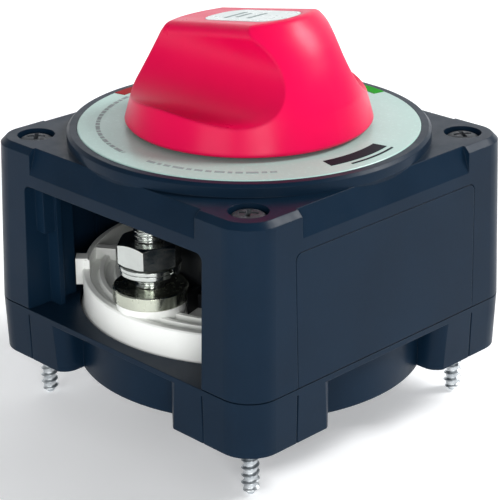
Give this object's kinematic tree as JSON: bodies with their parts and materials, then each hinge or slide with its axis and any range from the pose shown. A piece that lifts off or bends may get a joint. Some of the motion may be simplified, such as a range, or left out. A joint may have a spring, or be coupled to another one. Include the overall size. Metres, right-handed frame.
{
  "type": "battery switch",
  "caption": "Surface-mount rotary battery isolator switch: square housing, gripped knob on a round dial, open cable entry, snap-in side covers.",
  "frame": {"origin": "centre of the mounting plane: the underside of the base, midway between the four screws", "axes": "+Z along the knob's axis, out of the mounting surface; -Y towards the open cable entry; the knob's pointer end lies towards -X at OFF"},
  "size_m": [0.1, 0.1, 0.1095],
  "materials": {
    "case_plastic": "fine satin",
    "carrier_plastic": "satin",
    "black_plastic": "satin",
    "stainless": "bright",
    "copper": "satin",
    "silver": "satin",
    "tinned": "satin",
    "dial_plastic": "satin",
    "red_print": "printed",
    "green_print": "printed",
    "dark_print": "printed",
    "bush_plastic": "satin",
    "seal_rubber": "matt",
    "spring_steel": "bright",
    "knob_plastic": "soft gloss",
    "badge_plastic": "soft gloss"
  },
  "bodies": {
    "case": {"base": "case_plastic", "housing": "case_plastic", "stud_carrier": "carrier_plastic", "contact_cover": "black_plastic", "terminal_stud_front": "stainless", "contact_bar_front": "copper", "fixed_tip_front": "silver", "terminal_pad_front": "tinned", "flat_washer_front": "stainless", "spring_washer_front": "stainless", "nut_front": "stainless", "terminal_stud_rear": "stainless", "contact_bar_rear": "copper", "fixed_tip_rear": "silver", "terminal_pad_rear": "tinned", "flat_washer_rear": "stainless", "spring_washer_rear": "stainless", "nut_rear": "stainless", "mounting_screws": "stainless", "cover_screws": "stainless", "dial_plate": "dial_plastic", "off_mark": "red_print", "on_mark": "green_print", "dial_marks": "dark_print", "shaft_bush": "bush_plastic", "shaft_seal": "seal_rubber", "detent_spring_right": "spring_steel", "detent_spring_left": "spring_steel"},
    "turning_group": {"knob": "knob_plastic", "knob_badge": "badge_plastic", "knob_screw": "stainless", "drive_shaft": "stainless", "rotor": "black_plastic", "contact_bridge": "copper", "bridge_tips": "silver", "contact_spring": "spring_steel", "detent_cam": "bush_plastic", "thrust_washer": "bush_plastic", "retaining_clip": "stainless"},
    "cover_right": {"side_cover_right": "case_plastic"},
    "cover_rear": {"side_cover_rear": "case_plastic"},
    "cover_left": {"side_cover_left": "case_plastic"}
  },
  "joints": [
    {"name": "knob_turn", "type": "hinge", "parent": "case", "child": "turning_group", "pos_m": [0, 0, 0.0644], "axis": [0, 0, 1], "range_deg": [-90, 0], "deforming": ["detent_spring_right", "detent_spring_left"]},
    {"name": "right_cover_slide", "type": "slide", "parent": "case", "child": "cover_right", "axis": [1, 0, 0], "range_m": [0, 0.02]},
    {"name": "rear_cover_slide", "type": "slide", "parent": "case", "child": "cover_rear", "axis": [0, 1, 0], "range_m": [0, 0.02]},
    {"name": "left_cover_slide", "type": "slide", "parent": "case", "child": "cover_left", "axis": [-1, 0, 0], "range_m": [0, 0.02]}
  ]
}
